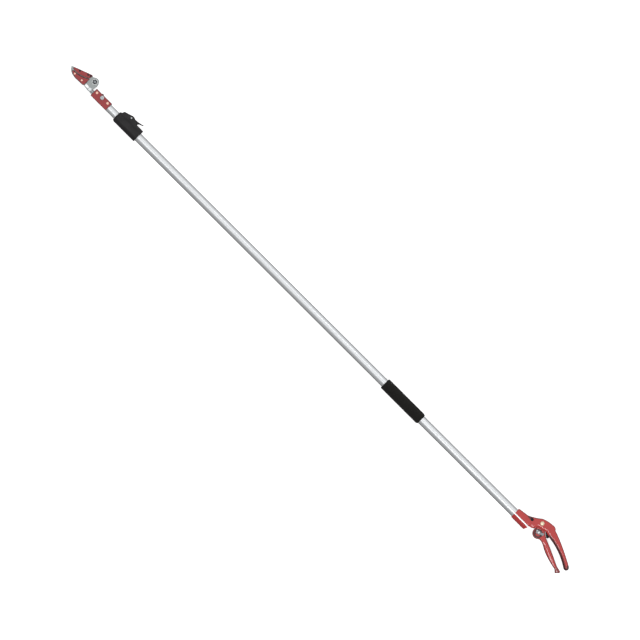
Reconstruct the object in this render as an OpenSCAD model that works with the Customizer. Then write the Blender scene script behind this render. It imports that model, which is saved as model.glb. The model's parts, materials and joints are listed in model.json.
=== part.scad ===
// Telescopic long-reach pruner: squeeze handle, two-stage pole, cut-and-hold head.
// The tool lies on its side. +X runs along the pole to the blades, +Z is the upper flat side,
// and the trigger hangs on the +Y side of the pole.
// Shapes are drawn in the pole's own frame: the pole axis is X, and X = 0 is the outer tube's
// lower end. in_frame() then moves them to the bottom centre of the whole tool.

/* [Pole] */
// Length of the outer tube
outer_len = 1570; // [1200:10:2000]
// Outside diameter of the outer tube
outer_d = 25; // [24:0.5:32]
// Wall of the outer tube
outer_wall = 1; // [0.8:0.1:1.5]
// Radial gap between the two tubes
tube_gap = 0.5; // [0.4:0.1:1]
// Wall of the inner tube
inner_wall = 1; // [0.8:0.1:1.5]
// Length of inner tube that shows above the collar when closed
inner_show = 31; // [10:1:120]
// How far the inner tube pulls out
pole_travel = 1070; // [300:10:1200]
// Length of inner tube that stays inside at full reach
pole_overlap = 170; // [120:10:300]

/* [Foam grip] */
// Wall of the foam grip
grip_wall = 4.5; // [3.5:0.1:8]
// Length of the foam grip
grip_len = 141; // [80:1:300]
// Distance from the outer tube's lower end to the foam grip
grip_start = 410; // [150:10:700]

/* [Handle] */
// Width of the handle across its two cheeks
handle_w = 24; // [22:1:30]
// Thickness of each cheek
cheek = 4; // [3:0.5:5]
// Thickness of the handle's back
web = 4; // [3:0.5:5]
// Length of the tube socket
socket_len = 53; // [45:1:80]
// Wall of the socket around the tube
socket_wall = 3; // [2.5:0.5:6]
// Distance from the pole axis to the trigger pivot
pivot_drop = 32.6; // [30:0.2:36]
// Distance from the tube's lower end back to the trigger pivot
pivot_back = 26; // [24:0.5:30]
// Distance from the trigger pivot to the end of the fixed handle
handle_reach = 140; // [110:1:160]
// Diameter of the trigger pivot pin
trigger_pin_d = 7; // [5:0.5:8]
// Diameter of the trigger pin's heads
trigger_head_d = 12; // [9:0.5:14]

/* [Trigger] */
// Swing of the trigger from closed to open, in degrees
trigger_swing = 22; // [10:1:24]
// Radius of the trigger's round boss
boss_r = 15.5; // [13:0.5:16]
// Distance from the trigger pivot to the end of the trigger
trigger_reach = 130; // [100:1:150]
// Distance from the pole axis to the link rod
link_offset = 8.8; // [8.2:0.1:9]
// Diameter of the link rod
link_d = 4.5; // [3.5:0.5:4.5]
// Diameter of the link pin
link_pin_d = 5; // [4:0.5:6]

/* [Draw gear] */
// Outside diameter of the draw tube
draw_d = 10; // [9:0.5:12]
// Wall of the draw tube
draw_wall = 1; // [0.8:0.1:1.2]
// Diameter of the draw rod
rod_d = 6; // [5:0.5:6.5]
// Length of draw rod that stays in the draw tube at full reach
rod_overlap = 100; // [60:10:200]

/* [Collar] */
// Length of the locking collar
collar_len = 82.5; // [70:0.5:120]
// How far the collar reaches past the outer tube
collar_over = 20; // [15:0.5:30]
// Wall of the collar's round body around the outer tube
collar_wall = 5.2; // [4.8:0.1:7]
// Wall of the collar at its two flat sides
flat_wall = 4.5; // [3.5:0.1:5]
// Distance from the outer tube's surface to the collar's lever pin
cam_gap = 12.2; // [11.7:0.1:13.5]
// Radius of the lever's cam, out to its high side
cam_r = 8.3; // [7.5:0.1:8.8]
// Width of the collar lever
lever_w = 12; // [8:1:14]

/* [Head] */
// Length of the red head bracket
bracket_len = 59; // [50:1:80]
// Sheet thickness of the head bracket
bracket_t = 2.5; // [2:0.5:4]
// Length of inner tube held in the bracket
tube_seat = 40; // [36:1:45]
// Distance from the bracket's end to the blade pivot, along the pole
pivot_ahead = 17.5; // [16:0.5:25]
// Distance from the blade pivot to the blade tips, along the pole
blade_len = 77; // [65:1:95]
// Thickness of each blade
blade_t = 3; // [2.5:0.1:3.5]
// Radius of the cutting blade's hub
hub_r = 11.8; // [10.5:0.1:12.5]
// Diameter of the pivot bolt
bolt_d = 8; // [6:0.5:9]
// Diameter of the pin between draw rod and blade
rod_pin_d = 5; // [4:0.5:5]
// Thickness of the red holding plates
plate_t = 2.4; // [1.5:0.1:3]

/* [Clearances] */
// Radial clearance of a running pin or shaft
run_gap = 0.05; // [0.02:0.01:0.1]
// Clearance between sliding flat faces
face_gap = 0.1; // [0.1:0.05:0.2]
// Clearance between parts that pass each other freely
free_gap = 0.4; // [0.3:0.1:0.6]

/* [Hidden] */
$fn = 64;
eps = 0.01;
far = 200;

// Colours
alu = "#d3d6d8";
red = "#b32d34";
dark_red = "#a02a30";
black = "#2b2a2b";
foam = "#262624";
steel = "#a9adb0";
bright_steel = "#cfd2d4";
cream = "#e2d3b4";
brass = "#c9a56a";
nylon = "#e8e6df";

// Tubes
outer_bore = outer_d - 2 * outer_wall;
inner_d = outer_bore - 2 * tube_gap;
inner_bore = inner_d - 2 * inner_wall;
draw_bore = draw_d - 2 * draw_wall;

// Around the outer tube
grip_d = outer_d + 2 * grip_wall;
collar_d = outer_d + 2 * collar_wall;
collar_flat = outer_d / 2 + flat_wall;
cam_drop = outer_d / 2 + cam_gap;

// Collar, bracket and inner tube along the pole
collar_x = outer_len + collar_over - collar_len;
collar_end = outer_len + collar_over;
bracket_x = collar_end + inner_show;
bracket_end = bracket_x + bracket_len;
inner_top = bracket_x + tube_seat;
inner_low = outer_len - pole_travel - pole_overlap;

// Trigger linkage: the link pin swings evenly to both sides of its pivot
half_swing = trigger_swing / 2;
pivot = [-pivot_back, -pivot_drop];
arm = pivot_drop - link_offset;
link_travel = 2 * arm * tan(half_swing);
pin_play = 0.15;
link_x = pivot.x - link_travel / 2;
arm_end = arm / cos(half_swing);

// Head linkage: same arm as the trigger, so blade and trigger turn by the same angle
blade_x = bracket_end + pivot_ahead;
blade_pivot = [blade_x, -arm];
rod_pin_x = blade_x - link_travel / 2;
counter_top = -blade_t - 4 * face_gap;
counter_low = counter_top - blade_t;
blade_low = counter_top + face_gap;
blade_top = blade_low + blade_t;
plates_top = blade_top + plate_t;
rod_flat = blade_top + face_gap;

// Handle
half_w = handle_w / 2;
half_in = half_w - cheek;
lever_half = half_in - 2 * face_gap;
socket_low = -5.5;
socket_top = socket_low + socket_len;
socket_r = outer_d / 2 + socket_wall;
slit_top = -0.8;
slit_bottom = 3.3;
handle_end = pivot.x - handle_reach;
boss = pivot + [-10.9, 27.6];

// Draw gear along the pole
bush_x = 2;
bush_len = 12;
spigot_len = 4;
cross_x = 66;
cross_len = 18;
clamp_len = 40;
clamp_d = draw_d + 5;
clamp_top = inner_low + pole_travel + 60;
draw_low = cross_x + 4;
rod_low = clamp_top - pole_travel - rod_overlap;
spring_wire = 1.4;
spring_r = draw_d / 2 - spring_wire / 2;
spring_turns = 7;

// Frame: bottom centre of the whole tool when it lies closed on its side
rest_half = max(grip_d / 2, collar_flat);
hump_y = pivot.y - 18;
trigger_tip_y = pivot.y + 72.4;
tip_x = blade_x + blade_len;
mid_x = (handle_end + tip_x) / 2;
mid_y = (hump_y + trigger_tip_y) / 2;

function arc(c, r, from, to, n = 10) =
  [for (i = [0:n]) c + r * [cos(from + (to - from) * i / n), sin(from + (to - from) * i / n)]];
// A quadratic curve from a to c that is pulled towards b
function bend(a, b, c, n = 10) =
  [for (i = [0:n]) let (t = i / n) (1 - t) * (1 - t) * a + 2 * t * (1 - t) * b + t * t * c];
function shift(points, by) = [for (p = points) p + by];
function flip(points) = [for (i = [len(points) - 1:-1:0]) points[i]];

module in_frame() {
  translate([-mid_x, -mid_y, rest_half]) children();
}

// A bar along the pole
module bar(d, x0, x1, y = 0) {
  translate([x0, y, 0]) rotate([0, 90, 0]) cylinder(d = d, h = x1 - x0);
}

// A tube along the pole
module pipe(d, bore, x0, x1) {
  difference() {
    bar(d, x0, x1);
    bar(bore, x0 - 1, x1 + 1);
  }
}

// An upright pin through the tool's flat sides
module pin(p, d, z0, z1) {
  translate([p.x, p.y, z0]) cylinder(d = d, h = z1 - z0);
}

// A flat shape between two heights
module slab(points, z0, z1) {
  translate([0, 0, z0]) linear_extrude(z1 - z0) polygon(points);
}

// A block between two corners
module block(a, b) {
  translate(a) cube(b - a);
}

/* ---- Pole ---- */

module outer_tube() {
  color(alu) in_frame() difference() {
    pipe(outer_d, outer_bore, 0, outer_len);
    // window for the collar's brake shoe
    translate([cam_x, 0, 0]) rotate([90, 0, 0]) cylinder(d = shoe_d + 2 * free_gap, h = outer_d);
  }
}

module inner_tube() {
  color(alu) in_frame() difference() {
    pipe(inner_d, inner_bore, inner_low, inner_top);
    for (p = bracket_holes) pin(p, rivet_d, -far, far);
    back_screw_hole();
  }
}

module inner_tube_bush() {
  color(nylon) in_frame() difference() {
    union() {
      bar(outer_bore - 2 * run_gap, inner_low - 8, inner_low);
      bar(inner_bore, inner_low - eps, inner_low + 20);
    }
    bar(clamp_d + 2 * free_gap, inner_low - far, inner_low + far);
  }
}

module foam_grip() {
  chamfer = grip_wall - 0.5;
  edge = grip_wall / 3;
  color(foam) in_frame() translate([grip_start, 0, 0]) rotate([0, 90, 0]) rotate_extrude()
    polygon([
      [outer_d / 2, 0], [grip_d / 2 - chamfer, 0], [grip_d / 2, chamfer],
      [grip_d / 2, grip_len - edge], [grip_d / 2 - edge, grip_len], [outer_d / 2, grip_len]
    ]);
}

/* ---- Handle ---- */

// Upper edge of the fixed handle, from the socket's mouth over the hump to the handle's end
function back_edge(drop) =
  shift(concat(
    [[socket_top, -socket_r - 1.4], [socket_top - 30, -socket_r - 5.3]],
    bend([socket_top - 36, -socket_r - 7.8], [pivot.x + 20, pivot.y + 0.1], [pivot.x + 10, pivot.y - 8.9]),
    bend([pivot.x + 5, pivot.y - 11.7], [pivot.x - 10, hump_y + 0.8], [pivot.x - 28, hump_y]),
    bend([pivot.x - 30, hump_y], [pivot.x - 36, hump_y + 0.5], [pivot.x - 39.5, hump_y + 6.6]),
    bend([pivot.x - 43, hump_y + 7.4], [pivot.x - 84, hump_y + 21.5], [handle_end + 3.5, pivot.y + 33])
  ), [0, drop]);

// Lower edge of the fixed handle, from its end back to the socket
function palm_edge() =
  concat(
    arc([handle_end + 7.5, pivot.y + 40], 7.5, 240, 60),
    bend([handle_end + 16, pivot.y + 43.6], [pivot.x - 90, pivot.y + 21.2], [pivot.x - 43, pivot.y + 14]),
    [[pivot.x - 24, pivot.y + 9], [pivot.x - 14, pivot.y + 12], [pivot.x + 2, pivot.y + 15],
     [pivot.x + 6, pivot.y + 24], [pivot.x + 12, pivot.y + 29], [socket_low, pivot.y + 31]],
    [[socket_low, slit_top], [socket_top, slit_top]]
  );

module handle_body() {
  color(red) in_frame() difference() {
    union() {
      slab(concat(back_edge(0), palm_edge()), -half_w, half_w);
      // upper half of the tube socket
      intersection() {
        bar(2 * socket_r, socket_low, socket_top);
        block([socket_low, -far, -far], [socket_top, slit_top, far]);
      }
    }
    // seat of the tube, and the way in for the link rod
    bar(outer_d, 0, socket_top + 1);
    bar(outer_bore, socket_low - 1, 1);
    // hollow of the handle, open towards the trigger
    slab(concat(
      [[socket_low + 1.5, -socket_r - 2], [socket_low + 1.5, far], [handle_end + 16, far],
       [handle_end + 16, pivot.y + 36]],
      flip([for (p = back_edge(web)) if (p.x > handle_end + 16 && p.x < socket_low - 4) p])
    ), -half_in, half_in);
    pin(pivot, trigger_pin_d, -far, far);
    // recess and hole of the neck screw
    pin(neck_hole, neck_d, -far, far);
    for (side = [-1, 1]) pin(neck_hole, neck_head_d, side * half_w - 2.5, side * half_w + 2.5);
  }
}
neck_hole = [1.5, -socket_r - 5.5];
neck_d = 5;
neck_head_d = 8.5;

module neck_screw() {
  color(black) in_frame() difference() {
    union() {
      pin(neck_hole, neck_d, -half_w + 2, half_w - 2);
      for (z = [-half_w + 0.5, half_w - 2.5]) pin(neck_hole, neck_head_d, z, z + 2);
    }
    // socket for a hexagon key
    translate([neck_hole.x, neck_hole.y, half_w - 2]) cylinder(d = 4.6, h = 3, $fn = 6);
  }
}

module socket_clamp_shell() {
  color(red) in_frame() difference() {
    intersection() {
      bar(2 * socket_r - 1, socket_low, socket_top);
      slab([
        [socket_low + 1, slit_bottom], [socket_top, slit_bottom], [socket_top, far],
        [socket_low + 5.5, far], [socket_low + 5.5, socket_r]
      ], -far, far);
    }
    bar(outer_d, socket_low - 1, socket_top + 1);
    for (x = clamp_screw_x) translate([x, 0, 0]) rotate([-90, 0, 0]) {
      cylinder(d = clamp_screw_d, h = far);
      translate([0, 0, clamp_head_low]) cylinder(d = clamp_head_d, h = 3);
    }
  }
}
clamp_screw_x = [socket_low + 16, socket_top - 10];
clamp_screw_d = 4;
clamp_head_d = 7;
clamp_head_low = socket_r - 1.5;

module socket_clamp_screws() {
  color(steel) in_frame() for (x = clamp_screw_x) translate([x, 0, 0]) rotate([-90, 0, 0]) {
    translate([0, 0, outer_d / 2]) cylinder(d = clamp_screw_d, h = socket_wall - 1);
    translate([0, 0, clamp_head_low]) cylinder(d = clamp_head_d, h = 1.4);
  }
}

module trigger_pivot_pin() {
  head_t = 1.5;
  color(cream) in_frame() {
    pin(pivot, trigger_pin_d, -half_w, half_w);
    for (z = [-half_w - head_t, half_w]) pin(pivot, trigger_head_d, z, z + head_t);
  }
}

module handle_bumper() {
  color(black) in_frame() intersection() {
    slab([
      pivot + [-36, 20.2], pivot + [-30.5, 16.2], pivot + [-22, 10], pivot + [-20, 0],
      pivot + [-41, -2], pivot + [-40, 18.2]
    ], -half_in + 0.5, half_in - 0.5);
    // its foot fills the hollow's roof
    slab(concat(
      [for (p = back_edge(web)) if (p.x > pivot.x - 60 && p.x < pivot.x - 10) p],
      [[pivot.x - 60, far], [pivot.x - 10, far]]
    ), -far, far);
  }
}

module rod_guide_bush() {
  color(nylon) in_frame() difference() {
    union() {
      bar(outer_bore, bush_x, bush_x + bush_len);
      // spigot that centres the return spring
      bar(draw_bore - 1, bush_x + bush_len - eps, bush_x + bush_len + spigot_len);
    }
    bar(link_d + 2 * run_gap, bush_x - 1, bush_x + bush_len + 1, -link_offset);
  }
}

// A round wire wound around the pole axis, closed flat at both ends
module return_spring() {
  sides = 6;
  steps = 12;
  rings = spring_turns * steps;
  low = bush_x + bush_len + spring_wire / 2 + face_gap;
  high = cross_x - spring_wire / 2 - face_gap;
  points = [
    for (i = [0:rings]) let (a = 360 * i / steps, x = low + (high - low) * i / rings)
      for (k = [0:sides - 1]) let (b = 360 * k / sides, r = spring_r + spring_wire / 2 * cos(b))
        [x + spring_wire / 2 * sin(b), r * cos(a), r * sin(a)]
  ];
  walls = [
    for (i = [0:rings - 1]) for (k = [0:sides - 1]) for (half = [0, 1])
      let (m = (k + 1) % sides, a = i * sides, b = a + sides)
        half == 0 ? [a + k, a + m, b + m] : [a + k, b + m, b + k]
  ];
  ends = [[for (k = [sides - 1:-1:0]) k], [for (k = [0:sides - 1]) rings * sides + k]];
  color(steel) in_frame() polyhedron(points, concat(walls, ends));
}

/* ---- Trigger ---- */

// Outline of the trigger: pivot hub, round boss and the curved tail
function trigger_outline() =
  concat(
    arc(pivot, 8, 150, 360),
    [pivot + [9.5, 14]],
    arc(boss, boss_r, -25, 115, 14),
    bend(pivot + [-22, 38.4], pivot + [-28, 33.4], pivot + [-43.5, 41.3]),
    bend(pivot + [-45.5, 42.3], pivot + [-67.5, 56.6], pivot + [-112, 65]),
    [pivot + [0.06 - trigger_reach + 9.7, 72.4], pivot + [-trigger_reach, 62.4],
     pivot + [-trigger_reach + 3, 58.6]],
    bend(pivot + [-110, 54.4], pivot + [-67, 33.4], pivot + [-38, 22]),
    [pivot + [-30, 17], pivot + [-16, 7]]
  );

module trigger_lever() {
  color(red) in_frame() difference() {
    slab(trigger_outline(), -lever_half, lever_half);
    pin(pivot, trigger_pin_d + 2 * run_gap, -far, far);
    // slot where the link rod comes in
    slab([
      pivot + [-16, 12], pivot + [far, 12], pivot + [far, 40], pivot + [-16, 34]
    ], -link_eye / 2 - free_gap, link_eye / 2 + free_gap);
    arm_slot(pivot, link_pin_d);
    // round pocket of the catch, and a small hole in its floor
    pin(boss, 2 * (boss_r - 3), pocket_floor, far);
    pin(catch_pivot, catch_screw_d, link_eye / 2, far);
    pin(boss + [5, 5], catch_screw_d, link_eye / 2, far);
  }
}
link_eye = 5;
pocket_floor = lever_half - 2.6;
catch_pivot = boss + [0.5, -3.4];
catch_screw_d = 3;
catch_head_d = 6;

// Slot for a pin that runs straight while the lever turns, cut at the lever's closed place
module arm_slot(turning_point, pin_d) {
  half = pin_d / 2 + pin_play;
  translate([turning_point.x, turning_point.y, 0]) rotate([0, 0, atan2(arm, -link_travel / 2)]) {
    for (r = [arm - pin_play, arm_end + pin_play]) pin([r, 0], 2 * half, -far, far);
    block([arm - pin_play, -half, -far], [arm_end + pin_play, half, far]);
  }
}

module catch_screw() {
  color(steel) in_frame() {
    pin(catch_pivot, catch_screw_d, link_eye / 2 + 1, lever_half);
    pin(catch_pivot, catch_head_d, lever_half, lever_half + 1.4);
  }
}

// Bright catch in the boss's pocket: a hub with a hooked nose, and a thumb tab over the rim
module catch_latch() {
  low = pocket_floor + face_gap;
  high = lever_half - face_gap;
  tab_low = lever_half + face_gap;
  tab_top = tab_low + 2.4;
  color(bright_steel) in_frame() difference() {
    union() {
      pin(catch_pivot, 10, low, high);
      slab([
        catch_pivot + [0, -4.9], catch_pivot + [-6.5, -4.4], catch_pivot + [-7.6, 1],
        catch_pivot + [-2, 4.6]
      ], low, high);
      slab([catch_pivot + [2, 4.5], catch_pivot + [3.5, 7], catch_pivot + [6, 5], catch_pivot + [4.8, 1]],
        low, high);
      // step up to the thumb tab
      slab([
        catch_pivot + [-4, -4.2], catch_pivot + [-6.5, -4.4], catch_pivot + [-7.6, 1],
        catch_pivot + [-5, 1]
      ], low, tab_top);
      slab([
        catch_pivot + [-4, -4.2], catch_pivot + [-12, -8.4], catch_pivot + [-15, -5],
        catch_pivot + [-14, -0.5], catch_pivot + [-5, 1]
      ], tab_low, tab_top);
    }
    pin(catch_pivot, catch_screw_d + 2 * run_gap, -far, far);
    // room under the screw's head
    pin(catch_pivot, catch_head_d + 2 * free_gap, high, far);
  }
}

/* ---- Draw gear ---- */

module link_rod() {
  color(steel) in_frame() difference() {
    union() {
      bar(link_d, link_x, cross_x + cross_len / 2, -link_offset);
      pin([link_x, -link_offset], 2 * link_eye, -link_eye / 2, link_eye / 2);
    }
    pin([link_x, -link_offset], link_pin_d, -far, far);
  }
}

module link_pin() {
  color(steel) in_frame() pin([link_x, -link_offset], link_pin_d, -lever_half + 1, pocket_floor - 0.2);
}

module draw_crosshead() {
  color(nylon) in_frame() difference() {
    bar(outer_bore - 2 * run_gap, cross_x, cross_x + cross_len);
    bar(draw_d, draw_low, cross_x + cross_len + 1);
    bar(link_d, cross_x - 1, cross_x + cross_len / 2, -link_offset);
  }
}

module draw_tube() {
  color(alu) in_frame() pipe(draw_d, draw_bore, draw_low, clamp_top - 20);
}

module rod_clamp() {
  color(steel) in_frame() difference() {
    bar(clamp_d, clamp_top - clamp_len, clamp_top);
    bar(draw_d, clamp_top - clamp_len - 1, clamp_top - 20);
    bar(rod_d + 2 * run_gap, clamp_top - clamp_len, clamp_top + 1);
  }
}

module draw_rod() {
  eye_r = 5.5;
  eye_top = rod_d / 2 - 0.3;
  color(steel) in_frame() difference() {
    union() {
      bar(rod_d, rod_low, rod_pin_x);
      pin([rod_pin_x, 0], 2 * eye_r, rod_flat, eye_top);
    }
    // flat that lies on the blade's arm
    block([rod_pin_x - eye_r - 4, -far, -far], [rod_pin_x + far, far, rod_flat]);
    pin([rod_pin_x, 0], rod_pin_d, -far, far);
  }
}

module rod_pin() {
  color(bright_steel) in_frame() {
    pin([rod_pin_x, 0], rod_pin_d, blade_low - 1, rod_d / 2);
    pin([rod_pin_x, 0], rod_pin_d + 3, rod_d / 2, rod_d / 2 + 1.5);
  }
}

/* ---- Collar ---- */

shoe_d = 10;
cam_x = collar_x + 48.6;
cam = [cam_x, -cam_drop];
slot_half = lever_w / 2 + face_gap;
cheeks_half = slot_half + 5;
hump_top = cam_drop + 6.7;
collar_nose = collar_end - 6;
shoe_top = cam_drop - cam_r - face_gap;

module collar_housing() {
  color(black) in_frame() difference() {
    union() {
      intersection() {
        union() {
          bar(collar_d, collar_x, collar_nose);
          translate([collar_nose, 0, 0]) rotate([0, 90, 0])
            cylinder(d1 = collar_d, d2 = collar_d - 8, h = collar_end - collar_nose);
        }
        block([collar_x, -far, -collar_flat], [collar_end, collar_d / 2 - 1, collar_flat]);
      }
      // cheeks and back of the lever housing
      slab(concat(
        [[collar_x, 0], [collar_x, -cam_drop + 3.3], [collar_x + 23, -cam_drop + 3.3],
         [cam_x - 12, -hump_top + 3]],
        arc([cam_x - 2, -hump_top + 8], 8, 250, 290, 4),
        [[collar_end - 9, -cam_drop + 0.7], [collar_end - 7, -cam_drop + 4], [collar_end - 3, 0]]
      ), -cheeks_half, cheeks_half);
    }
    bar(outer_d, collar_x - 1, collar_end - 3);
    bar(inner_d + 2 * free_gap, collar_end - 5, collar_end + 1);
    // pocket of the lever and its cam
    block([collar_x + 22, -far, -slot_half], [cam_x + cam_r + 1.5, -cam_drop + 9.5, slot_half]);
    // guide of the brake shoe
    translate([cam_x, 0, 0]) rotate([90, 0, 0]) cylinder(d = shoe_d + 2 * run_gap, h = far);
    pin(cam, lever_pin_d, -far, far);
    for (p = cheek_screws) pin(p, cheek_screw_d, -far, far);
    for (x = tube_screws) translate([x, 0, 0]) rotate([-90, 0, 0]) {
      cylinder(d = tube_screw_d, h = far);
      translate([0, 0, tube_screw_low]) cylinder(d = tube_screw_head, h = far);
    }
  }
}
cheek_screws = [[cam_x + 1.6, -cam_drop + 6.9]];
tube_screws = [collar_x + 14, collar_x + 44];
lever_pin_d = 4.5;
cheek_screw_d = 2.5;
tube_screw_d = 3.5;
tube_screw_head = 6.4;
tube_screw_low = outer_d / 2 + 1.1;

module collar_liner() {
  color(nylon) in_frame() pipe(outer_d, inner_d + 2 * run_gap, outer_len, collar_end - 3);
}

module collar_lever_pin() {
  color(steel) in_frame() pin(cam, lever_pin_d, -cheeks_half - 0.3, cheeks_half + 0.3);
}

module collar_cheek_screws() {
  color(steel) in_frame() for (p = cheek_screws) for (turn = [0, 180])
    translate([p.x, p.y, 0]) rotate([turn, 0, 0]) {
      translate([0, 0, slot_half + 1]) cylinder(d = cheek_screw_d, h = cheeks_half - slot_half - 1);
      translate([0, 0, cheeks_half]) cylinder(d = cheek_screw_d + 1.5, h = 0.8);
    }
}

module collar_tube_screws() {
  color(steel) in_frame() for (x = tube_screws) translate([x, 0, 0]) rotate([-90, 0, 0]) {
    translate([0, 0, outer_d / 2]) cylinder(d = tube_screw_d, h = tube_screw_low - outer_d / 2 + eps);
    translate([0, 0, tube_screw_low]) cylinder(d = tube_screw_head, h = 1.6);
  }
}

module brake_shoe() {
  color(nylon) in_frame() difference() {
    translate([cam_x, 0, 0]) rotate([90, 0, 0]) cylinder(d = shoe_d, h = shoe_top);
    bar(inner_d + 2 * face_gap, cam_x - shoe_d, cam_x + shoe_d);
  }
}

module collar_lever() {
  tail = cam + [-39, -9.2];
  throw = 0.8;
  low = -cam_drop + 3.3 - free_gap;
  color(black) in_frame() difference() {
    union() {
      pin(cam + [0, throw], 2 * (cam_r - throw), -lever_w / 2, lever_w / 2);
      // body and tail, with the finger gap under the tail
      slab(concat(
        [cam + [2, -6.8], cam + [-8, -4.6]],
        bend(cam + [-12, -4.4], cam + [-24, -4.6], tail),
        [tail + [0.6, 2.6]],
        bend(tail + [4, 4.2], cam + [-27, -2.4], [cam_x - 24.6, -cam_drop + 0.6]),
        [[cam_x - 24, low], [cam_x - 10, low], cam + [0, 5]]
      ), -lever_w / 2, lever_w / 2);
      // wider thumb paddle
      slab(concat(
        bend(cam + [-28.4, -5], cam + [-32, -6.3], tail, 4),
        [tail + [0.6, 2.6], cam + [-28.4, -3.2]]
      ), -lever_w / 2 - 3, lever_w / 2 + 3);
    }
    pin(cam, lever_pin_d + 2 * run_gap, -far, far);
  }
}

/* ---- Head ---- */

rivet_d = 5;
rivet_head = 8;
bracket_half = inner_d / 2 + bracket_t;
bracket_back = inner_d / 2 + 3.5;
rivet_y = -6.6;
bracket_holes = [
  [bracket_x + 10, rivet_y], [bracket_x + 31, rivet_y - 0.6], [bracket_end - 8.3, rivet_y]
];

// Bent sheet bracket: a back and two cheeks around the tube's end
module head_bracket() {
  color(dark_red) in_frame() difference() {
    block([bracket_x, -bracket_back, -bracket_half], [bracket_end, inner_d / 2, bracket_half]);
    block([bracket_x - 1, -inner_d / 2, -inner_d / 2], [bracket_end + 1, far, inner_d / 2]);
    for (p = bracket_holes) pin(p, rivet_d, -far, far);
    back_screw_hole();
  }
}

module bracket_rivets() {
  color(brass) in_frame() for (p = [bracket_holes[0], bracket_holes[2]]) {
    pin(p, rivet_d, -bracket_half, bracket_half);
    for (z = [-bracket_half - 1.4, bracket_half]) pin(p, rivet_head, z, z + 1.4);
  }
}

module bracket_screw() {
  p = bracket_holes[1];
  color(bright_steel) in_frame() {
    pin(p, rivet_d, -bracket_half, bracket_half);
    difference() {
      pin(p, 11, bracket_half, bracket_half + 3);
      // screwdriver slot
      translate([p.x, p.y, bracket_half + 2.5]) cube([12, 1.4, 2], center = true);
    }
    // nut
    translate([p.x, p.y, -bracket_half - 3]) cylinder(d = 9, h = 3, $fn = 6);
  }
}

// Small screw through the bracket's back into the tube wall
module bracket_back_screw() {
  tip_y = inner_bore / 2 - 1;
  color(black) in_frame() translate([back_screw_x, 0, 0]) rotate([90, 0, 0]) {
    translate([0, 0, tip_y]) cylinder(d = back_screw_d, h = bracket_back - tip_y);
    translate([0, 0, bracket_back]) cylinder(d = back_screw_d + 2.5, h = 1.8);
  }
}
back_screw_x = inner_top - 4;
back_screw_d = 3;

module back_screw_hole() {
  translate([back_screw_x, 0, 0]) rotate([90, 0, 0]) cylinder(d = back_screw_d, h = far);
}

// Block in the bracket's end: guides the draw rod and holds the counter blade's tang
module head_block() {
  color(steel) in_frame() difference() {
    block([inner_top, -inner_d / 2, -inner_d / 2], [bracket_end, inner_d / 2 - 1, inner_d / 2]);
    bar(rod_d + 2 * run_gap, inner_top - 1, bracket_end + 1);
    block([inner_top - 1, -tang_half, counter_low], [bracket_end + 1, shank_low, counter_top]);
    pin(bracket_holes[2], rivet_d, -far, far);
  }
}
tang_half = inner_d / 2 - 0.5;
shank_low = 7;
shank_high = -5.5;

// The line where the two holding plates meet, seen from the blade pivot
function cut_line(drop) =
  shift(bend([16.7, 3.3], [48.3, 23.5], [blade_len - 2.5, 13.7]), blade_pivot + [0, drop]);
tip = [tip_x, blade_pivot.y + 13.7];
root_x = blade_x + 15;
edge_lap = 2.2;
plate_gap = 0.8;
window_y = [-3.6, 2.8];

module counter_blade() {
  color(steel) in_frame() difference() {
    slab(concat(
      [[inner_top + 1, -tang_half], [bracket_end - 1, -tang_half], [bracket_end - 1, shank_high],
       [blade_x - 11, shank_high]],
      arc(blade_pivot, hub_r - 1, 180, 320),
      cut_line(-0.8),
      [tip],
      bend([tip_x - 5, tip.y + 7], [tip_x - 15, shank_low + 0.6], [blade_x + 44, shank_low + 0.2]),
      [[blade_x + 20, shank_low - 0.4], [blade_x + 15, shank_low - 2.4], [blade_x, shank_low],
       [inner_top + 1, shank_low]]
    ), counter_low, counter_top);
    pin(blade_pivot, bolt_d, -far, far);
    pin(bracket_holes[2], rivet_d, -far, far);
    // window where the rod pin travels
    block([rod_pin_x - 4.5, window_y[0], -far], [root_x - 1.5, window_y[1], far]);
    for (p = lower_rivets) pin(p, plate_rivet_d, -far, far);
  }
}

plate_rivet_d = 3;
lower_rivets = [blade_pivot + [28.4, 22.1], blade_pivot + [54.8, 22.6]];
upper_rivets = [blade_pivot + [19.5, -3.2], blade_pivot + [26.5, -0.8], blade_pivot + [50.5, 7.2]];

module lower_holding_plate() {
  low = blade_top + free_gap;
  color(dark_red) in_frame() difference() {
    slab(concat(
      [[root_x + 5, shank_low - 1.4], [root_x, shank_low - 3.4], [root_x, blade_pivot.y + 4.5]],
      [for (p = cut_line(plate_gap + 1.2)) if (p.x < tip_x - 9) p],
      bend([tip_x - 10.5, tip.y + 8], [tip_x - 18, shank_low - 1.2], [blade_x + 42, shank_low - 1])
    ), low, plates_top);
    for (p = lower_rivets) pin(p, plate_rivet_d, -far, far);
  }
}

// Rivets with a spacer between counter blade and lower plate
module lower_plate_rivets() {
  color(brass) in_frame() for (p = lower_rivets) {
    pin(p, plate_rivet_d, counter_low, plates_top);
    pin(p, plate_rivet_d + 2, plates_top, plates_top + 1);
    pin(p, plate_rivet_d + 1.4, counter_top, blade_top + free_gap);
    pin(p, plate_rivet_d + 2, counter_low - 1, counter_low);
  }
}

// Rubber strip along the lower plate's edge
module grip_strip() {
  color(black) in_frame() slab(
    [for (p = concat(cut_line(plate_gap), flip(cut_line(plate_gap + 1.2)))) if (p.x < tip_x - 9) p],
    blade_top + free_gap, plates_top + 0.2
  );
}

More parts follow.
